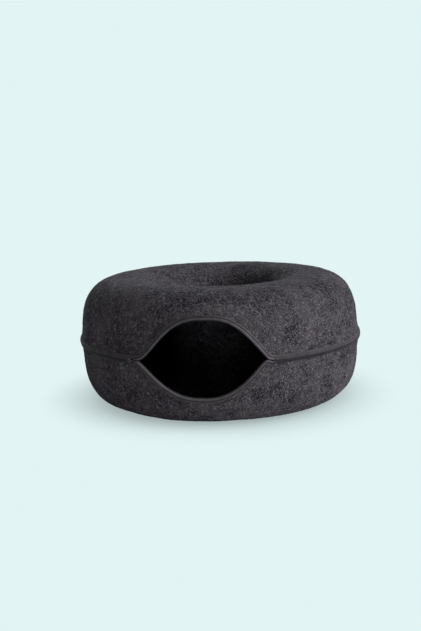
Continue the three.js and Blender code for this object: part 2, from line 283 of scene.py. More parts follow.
def felt_faces(side):
    """The outer and inner faces of a half ring as grids of points, and the outer face's normals."""
    lines = sections(side, felt_turns)
    total = lines["arc"][:, -1:]
    start = NEAR_EDGE * lines["slant"]
    share = np.linspace(0, 1, MIDDLE_ROWS + 2)[1:-1]
    middle = start[:, -1:] + (total - NEAR_SEAM[0] - start[:, -1:]) * share
    arcs = np.concatenate([start, middle, total - NEAR_SEAM], 1)
    face = on_skin(lines, arcs, 0)
    normals = unit(on_skin(lines, arcs, mm) - face)
    past_tape = arcs / lines["slant"] - TAPE_LEG
    to_seam = total - arcs

    flat = face.reshape(-1, 3)
    dent = np.zeros(len(flat))
    for i, kind in enumerate(DENTS):
        place = Vector((0, DENT_NOISE["kind"] * i, DENT_NOISE[side]))
        dent += [kind["depth"] * noise.noise(Vector(p) / kind["size"] + place) for p in flat]
    dent = dent.reshape(arcs.shape)
    dent *= smooth(past_tape / DENT_FADE["tape"]) * smooth(to_seam / DENT_FADE["seam"])
    rim = [Vector((math.sin(a), math.cos(a), SIDES[side])) for a in np.radians(felt_turns)]
    waves = [noise.noise(p * (OUTER_R / PUCKER["size"])) for p in rim]
    beside = np.exp(-np.maximum(past_tape, 0) / PUCKER["reach"]) * smooth(past_tape / PUCKER["start"])
    dent += PUCKER["depth"] * np.array(waves)[:, None] * beside
    puff = np.exp(-(((past_tape - PUFF["at"]) / PUFF["reach"]) ** 2)) * smooth(past_tape / PUFF["start"])
    dent += PUFF["height"] * puff
    dent -= SEAM_DIP["depth"] * np.exp(-((to_seam / SEAM_DIP["reach"]) ** 2))

    outside = face + normals * dent[..., None]
    rows = sorted({*range(len(NEAR_EDGE)), *range(0, arcs.shape[1], INSIDE_EVERY), arcs.shape[1] - 1})
    inside = (outside - normals * FELT)[:, rows]
    lowest = FELT * STOOD_ON if side == "lower" else 0
    outside[..., 2] = np.maximum(outside[..., 2], 0)
    inside[..., 2] = np.maximum(inside[..., 2], lowest)
    return outside, inside, normals


def felt_half(side):
    """One half ring as a closed mesh, with the outer face's grids for what lies on it."""
    outside, inside, normals = felt_faces(side)
    loops = np.concatenate([outside, inside[:, ::-1]], 1)
    felt = piece_of(f"{side}_felt", loops, ring_faces(*loops.shape[:2], side))
    felt.data.set_sharp_from_angle(angle=math.radians(SHARP))
    return felt, outside, normals


felt_halves = {side: felt_half(side) for side in SIDES}


def add_node(tree, kind, inputs=None, **settings):
    """A node of a material or the world: its inputs are values or other nodes' outputs, by name or number."""
    made = tree.nodes.new("ShaderNode" + kind)
    for name, value in settings.items():
        setattr(made, name, value)
    for socket, value in (inputs or {}).items():
        if isinstance(value, bpy.types.NodeSocket):
            tree.links.new(value, made.inputs[socket])
        else:
            made.inputs[socket].default_value = value
    return made


def srgb(code):
    """A hex colour, as seen on a screen, in linear light."""
    shares = [int(code[i : i + 2], 16) / 255 for i in (1, 3, 5)]
    return (*[c / 12.92 if c <= 0.04045 else ((c + 0.055) / 1.055) ** 2.4 for c in shares], 1)


def new_material(name):
    """An empty material with a Principled shader, as its tree and that shader."""
    material = bpy.data.materials.new(name)
    material.use_nodes = True
    tree = material.node_tree
    tree.nodes.clear()
    shader = add_node(tree, "BsdfPrincipled")
    add_node(tree, "OutputMaterial", {"Surface": shader.outputs["BSDF"]})
    return material, tree, shader


# Needle-punched polyester felt, from a blend of charcoal, dark and pale grey fibres. The barbed needles leave
# them lying every way, so short pale strands wander over a dark, cloudy ground, faintly plum where it is dark
# and warm grey where it is pale. Matt, with next to no gloss. A fibre is 0.03 mm thick, too fine to see: the
# strands here are the bundles that the eye picks out. They follow six axes, and bend as they wander. A strand
# shows where its noise passes one value, and is at its palest at the other.
FELT_DARK, FELT_MID, FELT_PALE = srgb("#1c191f"), srgb("#3b383c"), srgb("#6e6c70")
STRAND = {"length": 22 * mm, "width": 2.4 * mm, "shows": 0.66, "palest": 0.95}
STRAND_SHIFT = (0.37, 0.21, 0.53)  # from one axis's strands to the next's
WANDER = {"size": 16 * mm, "by": 10 * mm}
CLOUDS = ({"size": 110 * mm, "by": 0.3}, {"size": 45 * mm, "by": 0.55}, {"size": 20 * mm, "by": 0.38},
          {"size": 6 * mm, "by": 0.38}, {"size": 2.8 * mm, "by": 0.3})
SPREAD = 4  # brings noise, which keeps near its middle, to its full range
golden = (1 + 5**0.5) / 2
STRAND_AXES = [Vector(axis) for axis in (
    (0, 1, golden), (0, 1, -golden), (1, golden, 0), (1, -golden, 0), (golden, 0, 1), (-golden, 0, 1)
)]

felt_material, tree, shader = new_material("needle_felt_charcoal")
place = add_node(tree, "TexCoord").outputs["Object"]
drift = add_node(tree, "TexNoise", {"Vector": place, "Scale": 1 / WANDER["size"], "Detail": 1.0})
bent = add_node(tree, "VectorMath", {0: drift.outputs["Color"], 1: (0.5, 0.5, 0.5)}, operation="SUBTRACT")
bent = add_node(tree, "VectorMath", {0: bent.outputs[0], "Scale": WANDER["by"]}, operation="SCALE")
bent = add_node(tree, "VectorMath", {0: place, 1: bent.outputs[0]}, operation="ADD")
strands = None
for i, axis in enumerate(STRAND_AXES):
    turned = add_node(tree, "Mapping", {
        "Vector": bent.outputs[0],
        "Location": [shift * i for shift in STRAND_SHIFT],
        "Rotation": axis.to_track_quat("X", "Z").to_euler(),
        "Scale": (STRAND["length"], STRAND["width"], STRAND["width"]),
    }, vector_type="TEXTURE")
    lines = add_node(tree, "TexNoise", {"Vector": turned.outputs[0], "Scale": 1.0, "Detail": 0.0})
    lines = add_node(tree, "MapRange", {
        "Value": lines.outputs[0], "From Min": STRAND["shows"], "From Max": STRAND["palest"],
    })
    if strands:
        lines = add_node(tree, "Math", {0: strands.outputs[0], 1: lines.outputs[0]}, operation="MAXIMUM")
    strands = lines
ground = None
for i, cloud in enumerate(CLOUDS):
    field = add_node(tree, "TexNoise", {"Vector": bent.outputs[0], "Scale": 1 / cloud["size"], "Detail": 2.0})
    field = add_node(tree, "Math", {0: field.outputs[0], 1: 0.5}, operation="SUBTRACT")
    start = ground.outputs[0] if ground else 0.5
    ground = add_node(
        tree, "Math", {0: field.outputs[0], 1: SPREAD * cloud["by"], 2: start}, operation="MULTIPLY_ADD"
    )
ground_colour = add_node(tree, "Mix", {0: ground.outputs[0], 6: FELT_DARK, 7: FELT_MID}, data_type="RGBA")
felt_colour = add_node(
    tree, "Mix", {0: strands.outputs[0], 6: ground_colour.outputs[2], 7: FELT_PALE}, data_type="RGBA"
)
height = add_node(
    tree, "Math", {0: strands.outputs[0], 1: 0.5, 2: ground.outputs[0]}, operation="MULTIPLY_ADD"
)
nap = add_node(tree, "Bump", {"Height": height.outputs[0], "Strength": 0.7, "Distance": 0.6 * mm})
tree.links.new(felt_colour.outputs[2], shader.inputs["Base Color"])
tree.links.new(nap.outputs[0], shader.inputs["Normal"])
shader.inputs["Roughness"].default_value = 1.0
shader.inputs["Specular IOR Level"].default_value = 0.05
shader.inputs["Sheen Weight"].default_value = 0.02
shader.inputs["Sheen Roughness"].default_value = 0.5
shader.inputs["Sheen Tint"].default_value = FELT_PALE

for side, (felt, *_) in felt_halves.items():
    felt.data.materials.append(felt_material)
    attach(felt, "root")
    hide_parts(f"{side}_shell")

# ----------------------------------------------------------------------------------------------------------
# Loose fibres. Handling pulls strands of the felt's palest fibre half out of its face, and they lie on it in
# short open curls, pressed flat.
# ----------------------------------------------------------------------------------------------------------
FIBRES = 2200  # on each half
FIBRE_POINTS = 7
FIBRE = {"shortest": 10 * mm, "longest": 26 * mm, "radius": 0.28 * mm, "curl": 0.5, "waver": 0.25}
ROWS_NEARER = 2  # by which a fibre's walk may come nearer to the tape than where it may start


def tubes(name, paths, above, radius, sides=5, taper=1.0):
    """A mesh of closed tubes, one along each path. above points away from what the tubes lie on, at each
    point. The ends are narrowed to a share of the radius."""
    count, points = paths.shape[:2]
    ahead = unit(np.gradient(paths, axis=1))
    up = unit(above - ahead * np.sum(above * ahead, -1, keepdims=True))
    beside = np.cross(ahead, up)
    widths = np.full(points, radius)
    widths[[0, -1]] *= taper
    a = (np.arange(sides) + 0.5) * 2 * math.pi / sides
    spokes = np.cos(a)[:, None] * up[:, :, None] + np.sin(a)[:, None] * beside[:, :, None]
    rings = paths[:, :, None] + widths[:, None, None] * spokes
    p, k, j = np.meshgrid(np.arange(count), np.arange(points - 1), np.arange(sides), indexing="ij")
    first, turn = (p * points + k) * sides, (j + 1) % sides
    quads = np.stack([first + j, first + turn, first + sides + turn, first + sides + j], -1).reshape(-1, 4)
    starts = np.arange(count)[:, None] * points * sides + np.arange(sides)
    ends = (starts + (points - 1) * sides)[:, ::-1]
    return piece_of(name, rings, quads[:, ::-1].tolist() + starts.tolist() + ends.tolist())


def looked_up(grid, u, v):
    """Values of a grid that closes on itself along u, at fractional places."""
    i, j = np.floor(u).astype(int), np.clip(np.floor(v).astype(int), 0, grid.shape[1] - 2)
    s, t = (u - i)[:, None], (v - j)[:, None]
    i, n = i % len(grid), (i + 1) % len(grid)
    low = grid[i, j] * (1 - s) + grid[n, j] * s
    high = grid[i, j + 1] * (1 - s) + grid[n, j + 1] * s
    return low * (1 - t) + high * t


def loose_fibres(side, face, normals, rng):
    """Fibres scattered evenly over a half's outer face, each a walk along it on a slowly turning course."""
    first_row, last_row = len(NEAR_EDGE), face.shape[1] - len(NEAR_SEAM)
    width = np.linalg.norm(np.roll(face, -1, 0) - face, axis=-1)
    height = np.linalg.norm(np.diff(face, axis=1, append=face[:, -1:]), axis=-1)
    areas = (width * height)[:, first_row:last_row]
    cells = rng.choice(areas.size, FIBRES, p=areas.ravel() / areas.sum())
    u = cells // areas.shape[1] + rng.random(FIBRES)
    v = cells % areas.shape[1] + first_row + rng.random(FIBRES)
    step = rng.uniform(FIBRE["shortest"], FIBRE["longest"], FIBRES) / (FIBRE_POINTS - 1)
    course = rng.uniform(0, 2 * math.pi, FIBRES)
    curl = rng.normal(0, FIBRE["curl"], FIBRES)
    paths, above = np.empty((2, FIBRES, FIBRE_POINTS, 3))
    for k in range(FIBRE_POINTS):
        above[:, k] = unit(looked_up(normals, u, v))
        proud = 0.5 if 0 < k < FIBRE_POINTS - 1 else -0.5  # in radii: its ends are tucked in
        paths[:, k] = looked_up(face, u, v) + above[:, k] * FIBRE["radius"] * proud
        paths[:, k, 2] = np.maximum(paths[:, k, 2], FIBRE["radius"])
        i, j = np.floor(u).astype(int) % len(face), np.clip(np.floor(v).astype(int), 0, face.shape[1] - 2)
        u = u + step * np.cos(course) / width[i, j]
        v = np.clip(v + step * np.sin(course) / height[i, j], first_row - ROWS_NEARER, last_row)
        course = course + curl + rng.normal(0, FIBRE["waver"], FIBRES)
    return tubes(f"{side}_loose_fibres", paths, above, FIBRE["radius"], sides=3, taper=0.5)


# Pale grey polyester fibre, spun from the melt: matt in a bundle, a little paler than the felt.
fibre_material, tree, shader = new_material("polyester_fibre_pale")
place = add_node(tree, "TexCoord").outputs["Object"]
shade = add_node(tree, "TexNoise", {"Vector": place, "Scale": 1 / (9 * mm), "Detail": 1.0})
shade = add_node(tree, "MapRange", {"Value": shade.outputs[0], "From Min": 0.35, "From Max": 0.65})
colour = add_node(
    tree, "Mix", {0: shade.outputs[0], 6: srgb("#3a373e"), 7: srgb("#6c6971")}, data_type="RGBA"
)
tree.links.new(colour.outputs[2], shader.inputs["Base Color"])
shader.inputs["Roughness"].default_value = 0.7
shader.inputs["Specular IOR Level"].default_value = 0.3

rng = np.random.default_rng(7)
fibres = {}
for side, (felt, face, normals) in felt_halves.items():
    fibres[side] = loose_fibres(side, face, normals, rng)
    fibres[side].data.materials.append(fibre_material)
    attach(fibres[side], "root")

# ----------------------------------------------------------------------------------------------------------
# The binding tapes. Each is a woven polyester tape folded over the cut edge of a half ring and sewn through,
# with the zip's coil on its fold. The fold swells outside the stitching, and a narrow lip stands beyond it.
# ----------------------------------------------------------------------------------------------------------
# The outer half of the tape's section, from its middle round the fold and out to the lip: how far from the
# fold, and how high above the felt, in millimetres, and how much painted shade its colour takes, from 0 for a
# full painted highlight to 1. The inner half mirrors it.
# Along the doorway the fold is plump, and its groove is painted darker as painted shade. Where the zip is
# closed, the upper tape rolls down over it and presses the lower one's lip in under itself. There the roll is
# painted paler on top and darker below, and the lower tape is all painted shade.
TAPE_OPEN = (
    {"from_fold": 0.15, "above": -2.0, "painted_shade": 0.5}, {"from_fold": 0.0, "above": -0.6, "painted_shade": 0.2},
    {"from_fold": 0.25, "above": 0.9, "painted_shade": 0.0}, {"from_fold": 1.3, "above": 2.1, "painted_shade": 0.0},
    {"from_fold": 2.8, "above": 2.5, "painted_shade": 0.1}, {"from_fold": 4.2, "above": 2.0, "painted_shade": 0.4},
    {"from_fold": 5.1, "above": 1.0, "painted_shade": 0.7}, {"from_fold": 5.9, "above": 0.5, "painted_shade": 0.7},
    {"from_fold": 6.7, "above": 1.0, "painted_shade": 0.5}, {"from_fold": 7.6, "above": 1.75, "painted_shade": 0.0},
    {"from_fold": 8.7, "above": 1.5, "painted_shade": 0.0}, {"from_fold": 9.2, "above": 0.5, "painted_shade": 0.6},
)
TAPE_CLOSED = {
    "upper": (
        {"from_fold": -0.3, "above": -2.0, "painted_shade": 1.0}, {"from_fold": -0.55, "above": -0.2, "painted_shade": 1.0},
        {"from_fold": -0.64, "above": 2.0, "painted_shade": 1.0}, {"from_fold": -0.5, "above": 3.15, "painted_shade": 0.9},
        {"from_fold": 0.8, "above": 3.35, "painted_shade": 0.8}, {"from_fold": 2.2, "above": 3.3, "painted_shade": 0.75},
        {"from_fold": 3.5, "above": 2.95, "painted_shade": 0.72}, {"from_fold": 4.6, "above": 2.5, "painted_shade": 0.7},
        {"from_fold": 5.6, "above": 1.95, "painted_shade": 0.65}, {"from_fold": 6.5, "above": 1.5, "painted_shade": 0.6},
        {"from_fold": 7.6, "above": 1.1, "painted_shade": 0.4}, {"from_fold": 8.1, "above": 0.4, "painted_shade": 0.6},
    ),
    "lower": (
        {"from_fold": -0.3, "above": -2.0, "painted_shade": 1.0}, {"from_fold": -0.55, "above": -0.2, "painted_shade": 1.0},
        {"from_fold": -0.64, "above": 2.0, "painted_shade": 1.0}, {"from_fold": -0.5, "above": 3.1, "painted_shade": 1.0},
        {"from_fold": 0.4, "above": 3.25, "painted_shade": 1.0}, {"from_fold": 1.4, "above": 3.15, "painted_shade": 1.0},
        {"from_fold": 2.4, "above": 2.85, "painted_shade": 1.0}, {"from_fold": 3.3, "above": 2.4, "painted_shade": 1.0},
        {"from_fold": 4.1, "above": 1.8, "painted_shade": 1.0}, {"from_fold": 4.7, "above": 1.2, "painted_shade": 1.0},
        {"from_fold": 5.1, "above": 0.7, "painted_shade": 1.0}, {"from_fold": 5.2, "above": 0.3, "painted_shade": 1.0},
    ),
}
# How much of the painted highlight the doorway's edges take at its left corner, in the middle and at its
# right corner.
PAINTED_LIGHT_AT = (-20, 0, 20)
PAINTED_LIGHT = {"upper": (0.5, 0.4, 1.0), "lower": (0.8, 0.6, 0.5)}
UNDERSIDE = {"above": 0.25, "from_lip": 0.35}  # mm: the clearance over the felt, and how far short of the lip
CLOSES_OVER = 0.8  # degrees in which the open shape becomes the closed one
OUTLINE_STEPS = 3  # between one row of a table and the next
FOLD_ROWS = 4  # of the outline, on the fold itself
GROOVE = 5.9 * mm  # from the fold to the stitching along the doorway
SEWN_CLOSED = {"upper": 5.3 * mm, "lower": 4.1 * mm}  # and where the zip is closed
HALF_FELT, THICKNESS = FELT / 2 / mm, TAPE / mm


def rounded(points, steps):
    """A smooth line through points, with steps to each stretch."""
    before, after = 2 * points[0] - points[1], 2 * points[-1] - points[-2]
    p = np.concatenate([[before], points, [after]])
    t = (np.arange(steps) / steps)[:, None]
    return np.concatenate([*(curved(*four, t) for four in zip(p, p[1:], p[2:], p[3:])), points[-1:]])


def tape_outline(rows):
    """The whole closed outline of the tape's section, with its outer face's rows first: from the fold, above
    the felt, and how much painted shade it takes."""
    outer = rounded(np.array([list(row.values()) for row in rows]), OUTLINE_STEPS)
    lip = outer[-1, 0] - UNDERSIDE["from_lip"]
    under = [(from_fold, UNDERSIDE["above"], 1) for from_fold in (lip, (lip + THICKNESS) / 2, THICKNESS)]
    half = np.concatenate([outer, under, [(THICKNESS, -HALF_FELT, 1)]])
    mirrored = (half * (1, -1, 1) - (0, 2 * HALF_FELT, 0))[::-1]
    return np.concatenate([half[:-1], mirrored[:-1]]) * (mm, mm, 1)


def closed(turns):
    """0 along the doorway, 1 where the zip is closed."""
    turns = from_front(turns)
    past = np.maximum(ZIP_CLOSED[0] - turns, turns - ZIP_CLOSED[1])
    return smooth(past / CLOSES_OVER + 0.5)


def stitching_line(side, turns):
    """Where a tape is sewn, in its groove or on its roll: how far from the fold, and how high above the
    felt."""
    rows = (len(TAPE_OPEN) - 1) * OUTLINE_STEPS + 1
    share = closed(turns)
    from_fold = GROOVE + (SEWN_CLOSED[side] - GROOVE) * share
    heights = [
        np.interp(from_fold, *tape_outline(kind)[FOLD_ROWS:rows, :2].T)
        for kind in (TAPE_OPEN, TAPE_CLOSED[side])
    ]
    return from_fold, heights[0] + (heights[1] - heights[0]) * share


def distances(line):
    """How far each point of a line is along it."""
    return np.concatenate([[0], np.cumsum(np.linalg.norm(np.diff(line, axis=0), axis=1))])


def binding_tape(side):
    """The tape of one half, swept along its edge. How far each point is round the ring and round the fold is
    kept for its weave, and so is the share of painted shade that it takes."""
    lines = sections(side, felt_turns)
    share = closed(felt_turns)[:, None, None]
    # Painted highlight on the open tape: it is painted paler by a share that changes round the doorway.
    painted_light = np.interp(from_front(felt_turns), PAINTED_LIGHT_AT, PAINTED_LIGHT[side])[:, None]
    opened = np.repeat(tape_outline(TAPE_OPEN)[None], len(felt_turns), axis=0)
    opened[..., 2] = 1 - painted_light * (1 - opened[..., 2])
    outline = opened * (1 - share) + tape_outline(TAPE_CLOSED[side]) * share
    arcs = (outline[..., 0] - FIT - TAPE) * lines["slant"]
    loops = on_skin(lines, arcs, outline[..., 1])
    facing = "lower" if side == "upper" else "upper"  # its outline runs the other way round from the felt's
    tape = piece_of(f"{side}_binding_tape", loops, ring_faces(*loops.shape[:2], facing))
    weave_and_shade = np.zeros((*loops.shape[:2], 3), np.float32)
    weave_and_shade[..., 0] = distances(loops[:, 0])[:, None]
    weave_and_shade[..., 1] = distances(outline[0, :, :2])
    # The share of painted shade in the tape's colour.
    weave_and_shade[..., 2] = outline[..., 2]
    tape.data.attributes.new("weave_and_shade", "FLOAT_VECTOR", "POINT").data.foreach_set("vector", weave_and_shade.ravel())
    return tape, lines


# Grosgrain: a warp-faced polyester tape, dyed charcoal, whose weft makes fine ribs across it. Smoother than
# felt, with a low sheen. Its colour holds painted light: a painted highlight where it stands up along the
# doorway and a little on top of the closed roll, and painted shade in the doorway's groove, under the roll
# and over the lower tape where the zip is closed. The ribs are 0.5 mm apart, too fine to show, and are drawn
# 1.6 mm apart.
RIB = 1.6 * mm
BAND = math.pi / 10  # from one band to the next of a wave texture whose scale is 1
# The tape's colours under painted highlight and under painted shade, each running from dark to pale across
# the ribs and the wear.
TAPE_PAINTED_LIGHT, TAPE_PAINTED_SHADE = ("#4c494d", "#5f5c60"), ("#1f1c20", "#2a272b")
tape_material, tree, shader = new_material("grosgrain_tape_charcoal")
weave_and_shade = add_node(tree, "Attribute", attribute_name="weave_and_shade").outputs["Vector"]
ribs = add_node(tree, "TexWave", {
    "Vector": weave_and_shade, "Scale": BAND / RIB, "Distortion": 0.6, "Detail": 1.0, "Detail Scale": 2.0,
}, bands_direction="X")
place = add_node(tree, "TexCoord").outputs["Object"]
wear = add_node(tree, "TexNoise", {"Vector": place, "Scale": 1 / (14 * mm), "Detail": 3.0})
wear = add_node(tree, "MapRange", {"Value": wear.outputs[0], "From Min": 0.3, "From Max": 0.7})
tone = add_node(tree, "Math", {0: ribs.outputs[0], 1: 0.25, 2: wear.outputs[0]}, operation="MULTIPLY_ADD")
painted_light, painted_shade = (
    add_node(tree, "Mix", {0: tone.outputs[0], 6: srgb(dark), 7: srgb(pale)}, data_type="RGBA")
    for dark, pale in (TAPE_PAINTED_LIGHT, TAPE_PAINTED_SHADE)
)
# The tape's colour goes from painted highlight to painted shade by the share carried on its points.
painted_shade_share = add_node(tree, "SeparateXYZ", {0: weave_and_shade}).outputs[2]
colour = add_node(tree, "Mix", {0: painted_shade_share, 6: painted_light.outputs[2], 7: painted_shade.outputs[2]}, data_type="RGBA")
weft = add_node(tree, "Bump", {"Height": ribs.outputs[0], "Strength": 0.4, "Distance": 0.12 * mm})
tree.links.new(colour.outputs[2], shader.inputs["Base Color"])
tree.links.new(weft.outputs[0], shader.inputs["Normal"])
shader.inputs["Roughness"].default_value = 0.75
shader.inputs["Specular IOR Level"].default_value = 0.07
shader.inputs["Sheen Weight"].default_value = 0.05
shader.inputs["Sheen Roughness"].default_value = 0.4
shader.inputs["Sheen Tint"].default_value = FELT_PALE

tapes = {side: binding_tape(side) for side in SIDES}
for side, (tape, lines) in tapes.items():
    tape.data.materials.append(tape_material)
    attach(tape, "root")
    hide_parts(f"{side}_tape")

# ----------------------------------------------------------------------------------------------------------
# The stitching. A lockstitch runs along each tape's groove, outside and inside, and an overcast stitch joins
# the two halves of felt round the hole. Both are spun polyester thread.
# ----------------------------------------------------------------------------------------------------------
LOCKSTITCH = {"pitch": 4 * mm, "length": 3.1 * mm, "radius": 0.3 * mm, "bow": 0.35 * mm, "points": 5}
OVERCAST = {"pitch": 5 * mm, "reach": 3.4 * mm, "radius": 0.4 * mm, "bow": 0.5 * mm, "sink": 1.5 * mm,
            "lean": 1.6 * mm, "points": 9}


def values_at(at, length, rows):
    """Rows of values along a line, looked up at any distances along it."""
    return np.stack([np.interp(at, length, column) for column in rows.T], -1)


def along_edge(lines, from_fold, above, pitch, spots):
    """Points at even distances along a tape, and the direction away from the felt. from_fold and above have a
    value for each section. There is a row for each pitch, with a point at each spot, a share of the pitch."""
    arc = (from_fold[:, None] - FIT - TAPE) * lines["slant"]
    line, beyond = (on_skin(lines, arc, above[:, None] + more)[:, 0] for more in (0, mm))
    out = unit(beyond - line)
    line, out = np.concatenate([line, line[:1]]), np.concatenate([out, out[:1]])
    length = distances(line)
    count = round(length[-1] / pitch)
    at = (np.arange(count)[:, None] + spots) / count * length[-1]
    return values_at(at, length, line), unit(values_at(at, length, out))


def lockstitch(name, lines, from_fold, above, outwards):
    """A row of stitches whose ends are drawn into the tape."""
    spots = np.linspace(0, LOCKSTITCH["length"] / LOCKSTITCH["pitch"], LOCKSTITCH["points"])
    points, ways = along_edge(lines, from_fold, above, LOCKSTITCH["pitch"], spots)
    ways = ways * outwards
    bow = LOCKSTITCH["bow"] * np.sin(np.linspace(0, math.pi, LOCKSTITCH["points"]))
    return tubes(name, points + ways * bow[:, None], ways, LOCKSTITCH["radius"], sides=6, taper=0.6)


def overcast():
    """Slanting stitches over the inner seam, each sunk at its ends in one half and the other."""
    hole_r = TUBE_R - HALF_WIDTH
    count = round(2 * math.pi * hole_r / OVERCAST["pitch"])
    along = np.linspace(-1, 1, OVERCAST["points"])
    turns = np.arange(count)[:, None] * 2 * math.pi / count + along * OVERCAST["lean"] / hole_r
    up = along * OVERCAST["reach"]
    dip = SEAM_DIP["depth"] * np.exp(-((up / SEAM_DIP["reach"]) ** 2))
    radius = hole_r + dip - OVERCAST["bow"] + OVERCAST["sink"] * along**4
    height = np.broadcast_to(SEAM_Z + up, turns.shape)
    paths = np.stack([radius * np.sin(turns), -radius * np.cos(turns), height], -1)
    inwards = -paths * (1, 1, 0)
    return tubes("inner_seam_stitching", paths, unit(inwards), OVERCAST["radius"], sides=6, taper=0.7)


# Spun polyester sewing thread, two-ply, darker than the tape: matt, with a fine twist.
thread_material, tree, shader = new_material("spun_polyester_thread")
place = add_node(tree, "TexCoord").outputs["Object"]
fuzz = add_node(tree, "TexNoise", {"Vector": place, "Scale": 1 / (0.8 * mm), "Detail": 2.0})
colour = add_node(tree, "Mix", {0: fuzz.outputs[0], 6: srgb("#1f1d22"), 7: srgb("#3b393f")}, data_type="RGBA")
ply = add_node(tree, "Bump", {"Height": fuzz.outputs[0], "Strength": 0.5, "Distance": 0.1 * mm})
tree.links.new(colour.outputs[2], shader.inputs["Base Color"])
tree.links.new(ply.outputs[0], shader.inputs["Normal"])
shader.inputs["Roughness"].default_value = 0.75
shader.inputs["Specular IOR Level"].default_value = 0.3

for side, (tape, lines) in tapes.items():
    sewn, above = stitching_line(side, felt_turns)
    rows = [lockstitch(f"{side}_stitching_outside", lines, sewn, above, 1),
            lockstitch(f"{side}_stitching_inside", lines, sewn, -FELT - above, -1)]
    for row in rows:
        row.data.materials.append(thread_material)
        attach(row, "root")
inner_seam = overcast()
inner_seam.data.materials.append(thread_material)
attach(inner_seam, "root")

# ----------------------------------------------------------------------------------------------------------
# The zip. Each tape carries a coil of nylon monofilament, wound flat. Along the doorway the two coils stand
# open on the tapes' folds, and round the rest of the ring they are locked into one chain, between the folds.
# ----------------------------------------------------------------------------------------------------------
# The wire is the monofilament's radius, and points are those in each of its turns. Where a coil runs is in
# degrees from the front: the closed one goes from the end stop round the back to the slider.
COIL = {"pitch": 1.4 * mm, "depth": 3 * mm, "wire": 0.3 * mm, "points": 8}
OPEN_COIL = {"off_fold": 0.6 * mm, "height": 1.5 * mm, "from_to": (-23.6, 23.3), "sections": 120}
CLOSED_COIL = {"off_fold": FIT + CHAIN / 2, "height": CHAIN, "from_to": (27.7, 333.45), "sections": 400}


def coil(name, side, size):
    """A flat helix along an edge, whose middle runs off the tape's fold, halfway through the felt."""
    lines = sections(side, np.linspace(*size["from_to"], size["sections"]))
    arc = -(FIT + TAPE + size["off_fold"]) * lines["slant"]
    line, beyond, outer = (
        on_skin(lines, arc - more, out - FELT / 2)[:, 0] for more, out in ((0, 0), (mm, 0), (0, mm))
    )
    away, out = unit(beyond - line), unit(outer - line)
    length = distances(line)
    count = int(length[-1] / COIL["pitch"])
    at = np.linspace(0, count, count * COIL["points"] + 1)
    line, away, out = (values_at(at * length[-1] / count, length, row) for row in (line, away, out))
    a = (at * 2 * math.pi)[:, None]
    deep, high = COIL["depth"] / 2 - COIL["wire"], size["height"] / 2 - COIL["wire"]
    path = line + out * deep * np.cos(a) + away * high * np.sin(a)
    above = out * np.cos(a) + away * np.sin(a)
    return tubes(name, path[None], above[None], COIL["wire"], sides=5)


# Nylon monofilament, dyed black: smooth, with the soft gloss of plastic, duller and paler where lint has
# settled on it.
coil_material, tree, shader = new_material("nylon_coil_black")
place = add_node(tree, "TexCoord").outputs["Object"]
lint = add_node(tree, "TexNoise", {"Vector": place, "Scale": 1 / (6 * mm), "Detail": 3.0})
lint = add_node(tree, "MapRange", {"Value": lint.outputs[0], "From Min": 0.45, "From Max": 0.7})
colour = add_node(tree, "Mix", {0: lint.outputs[0], 6: srgb("#151418"), 7: srgb("#2b292e")}, data_type="RGBA")
rough = add_node(tree, "MapRange", {"Value": lint.outputs[0], "To Min": 0.38, "To Max": 0.6})
tree.links.new(colour.outputs[2], shader.inputs["Base Color"])
tree.links.new(rough.outputs[0], shader.inputs["Roughness"])
shader.inputs["Specular IOR Level"].default_value = 0.4

for side in SIDES:
    open_coil = coil(f"{side}_open_coil", side, OPEN_COIL)
    open_coil.data.materials.append(coil_material)
    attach(open_coil, "root")
    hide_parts(f"{side}_coil")
closed_chain = coil("closed_chain", "upper", CLOSED_COIL)
closed_chain.data.materials.append(coil_material)
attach(closed_chain, "root")
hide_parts("zip_chain")

# ----------------------------------------------------------------------------------------------------------
# The hardware: a cast slider with a bail, a flat pierced puller and a clenched end stop, all of zinc in black
# lacquer. The slider runs on the coils, the puller hangs from its bail, and the stop grips both tapes.
# ----------------------------------------------------------------------------------------------------------
# Black lacquer over cast zinc: glossy, with a fine grain from the casting. It is coloured paler in patches
# along its edges, where a softened normal turns away from the face's own. This is partly wear through the
# lacquer and partly a painted highlight that stands in for glints.
metal_material, tree, shader = new_material("black_lacquered_zinc")
place = add_node(tree, "TexCoord").outputs["Object"]
grain = add_node(tree, "TexNoise", {"Vector": place, "Scale": 1 / (1.2 * mm), "Detail": 3.0})
soft = add_node(tree, "Bevel", {"Radius": 1.0 * mm}).outputs[0]
face = add_node(tree, "NewGeometry").outputs["Normal"]
edge = add_node(tree, "VectorMath", {0: soft, 1: face}, operation="DOT_PRODUCT")
edge = add_node(tree, "MapRange", {"Value": edge.outputs["Value"], "From Min": 0.99, "From Max": 0.86})
edge_patches = add_node(tree, "MapRange", {
    "Value": grain.outputs[0], "From Min": 0.3, "From Max": 0.55, "To Min": 0.4,
})
# Pale edges: partly wear, partly painted highlight.
painted_light = add_node(tree, "Math", {0: edge.outputs[0], 1: edge_patches.outputs[0]}, operation="MULTIPLY")
colour = add_node(
    tree, "Mix", {0: painted_light.outputs[0], 6: srgb("#0f0e10"), 7: srgb("#8a837d")}, data_type="RGBA"
)
rough = add_node(tree, "MapRange", {"Value": grain.outputs[0], "To Min": 0.25, "To Max": 0.45})
tree.links.new(colour.outputs[2], shader.inputs["Base Color"])
tree.links.new(rough.outputs[0], shader.inputs["Roughness"])
shader.inputs["Metallic"].default_value = 0.5
shader.inputs["Specular IOR Level"].default_value = 0.2

for node in ("slider", "puller", "end_stop"):
    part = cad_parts[node]
    part.data.materials.clear()
    part.data.materials.append(metal_material)
    rounding = part.modifiers.new("rounded_edges", "BEVEL")
    rounding.width = 0.35 * mm
    rounding.segments = 3
    rounding.limit_method = "ANGLE"
    rounding.angle_limit = math.radians(40)

